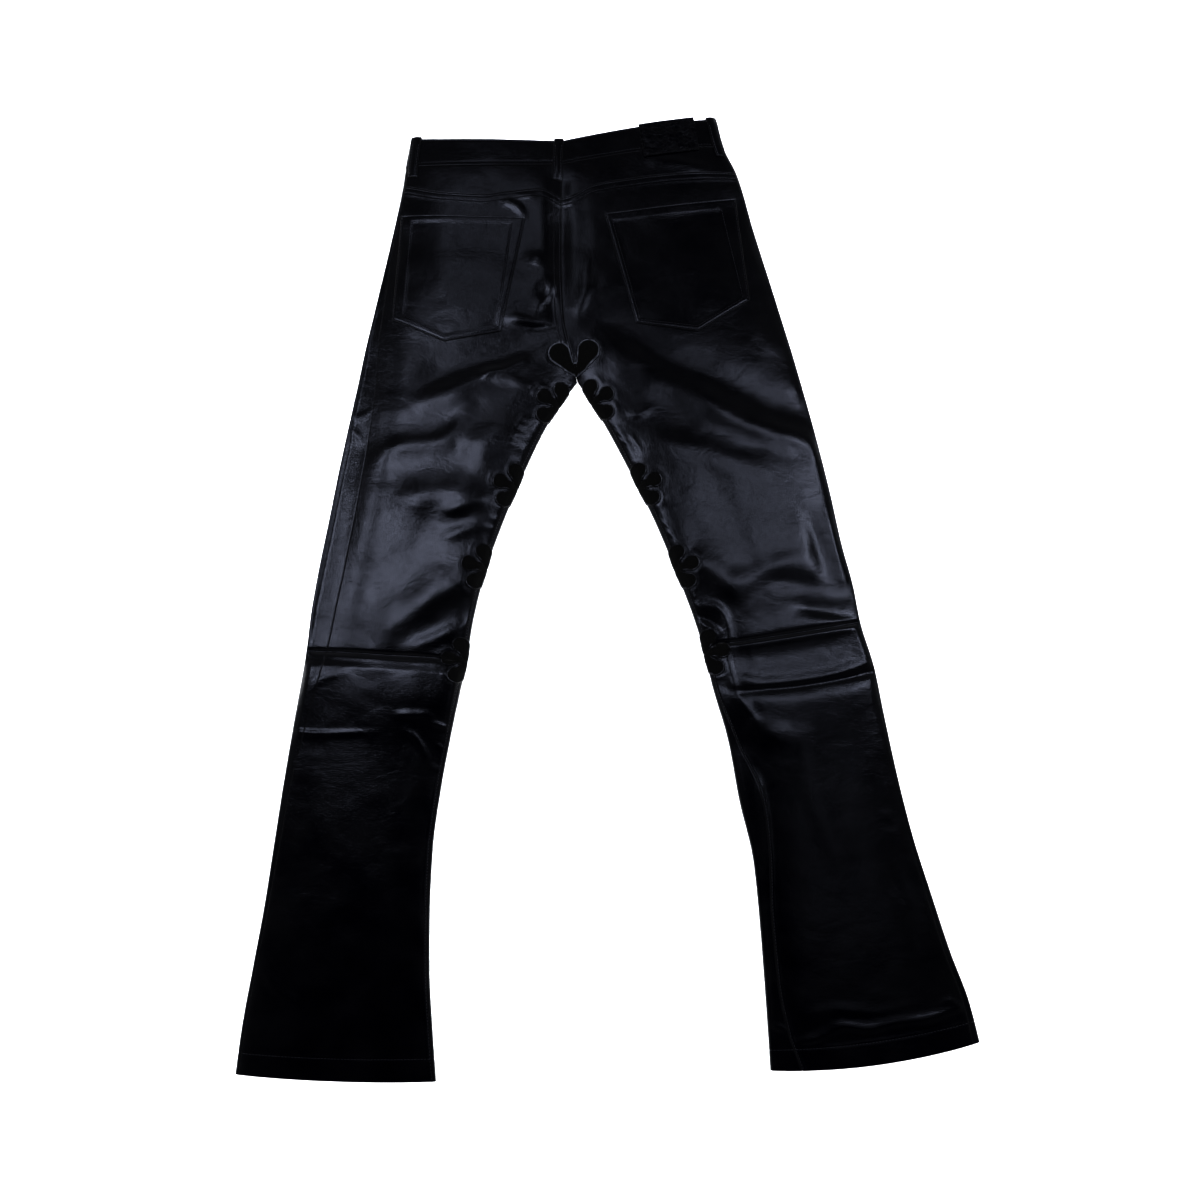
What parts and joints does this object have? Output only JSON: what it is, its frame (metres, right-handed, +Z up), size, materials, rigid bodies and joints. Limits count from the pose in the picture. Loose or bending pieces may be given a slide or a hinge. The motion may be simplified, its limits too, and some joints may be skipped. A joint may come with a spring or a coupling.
{
  "type": "leather trousers",
  "caption": "Flared leather trousers laid flat on their front, back up, with patch pockets on the seat, creased legs and suede flowers down the inseams.",
  "frame": {"origin": "centre of the bounding box in plan, on the surface the trousers lie on", "axes": "+X to the right seen from above with the waist away from the viewer, +Y towards the waist, +Z up out of the surface"},
  "size_m": [0.842, 1.1705, 0.0225],
  "materials": {
    "leather": "black pebbled cowhide with a soft sheen",
    "suede": "matte black suede",
    "patch_leather": "stiff black leather with a crackled face, bare",
    "button_metal": "dark antique metal"
  },
  "bodies": {
    "root": {"back_left": "leather", "back_right": "leather", "yoke_left": "leather", "yoke_right": "leather", "front_left": "leather", "front_right": "leather", "waistband": "leather", "loop_back_left": "leather", "loop_back_centre": "leather", "loop_back_right": "leather", "loop_front_left": "leather", "loop_front_right": "leather", "waist_patch": "patch_leather", "pocket_left": "leather", "pocket_right": "leather", "flower_crotch": "suede", "flower_left_1": "suede", "flower_left_2": "suede", "flower_left_3": "suede", "flower_left_4": "suede", "flower_right_1": "suede", "flower_right_2": "suede", "flower_right_3": "suede", "flower_right_4": "suede", "fly_shield": "leather", "waist_button": "button_metal"}
  },
  "joints": []
}
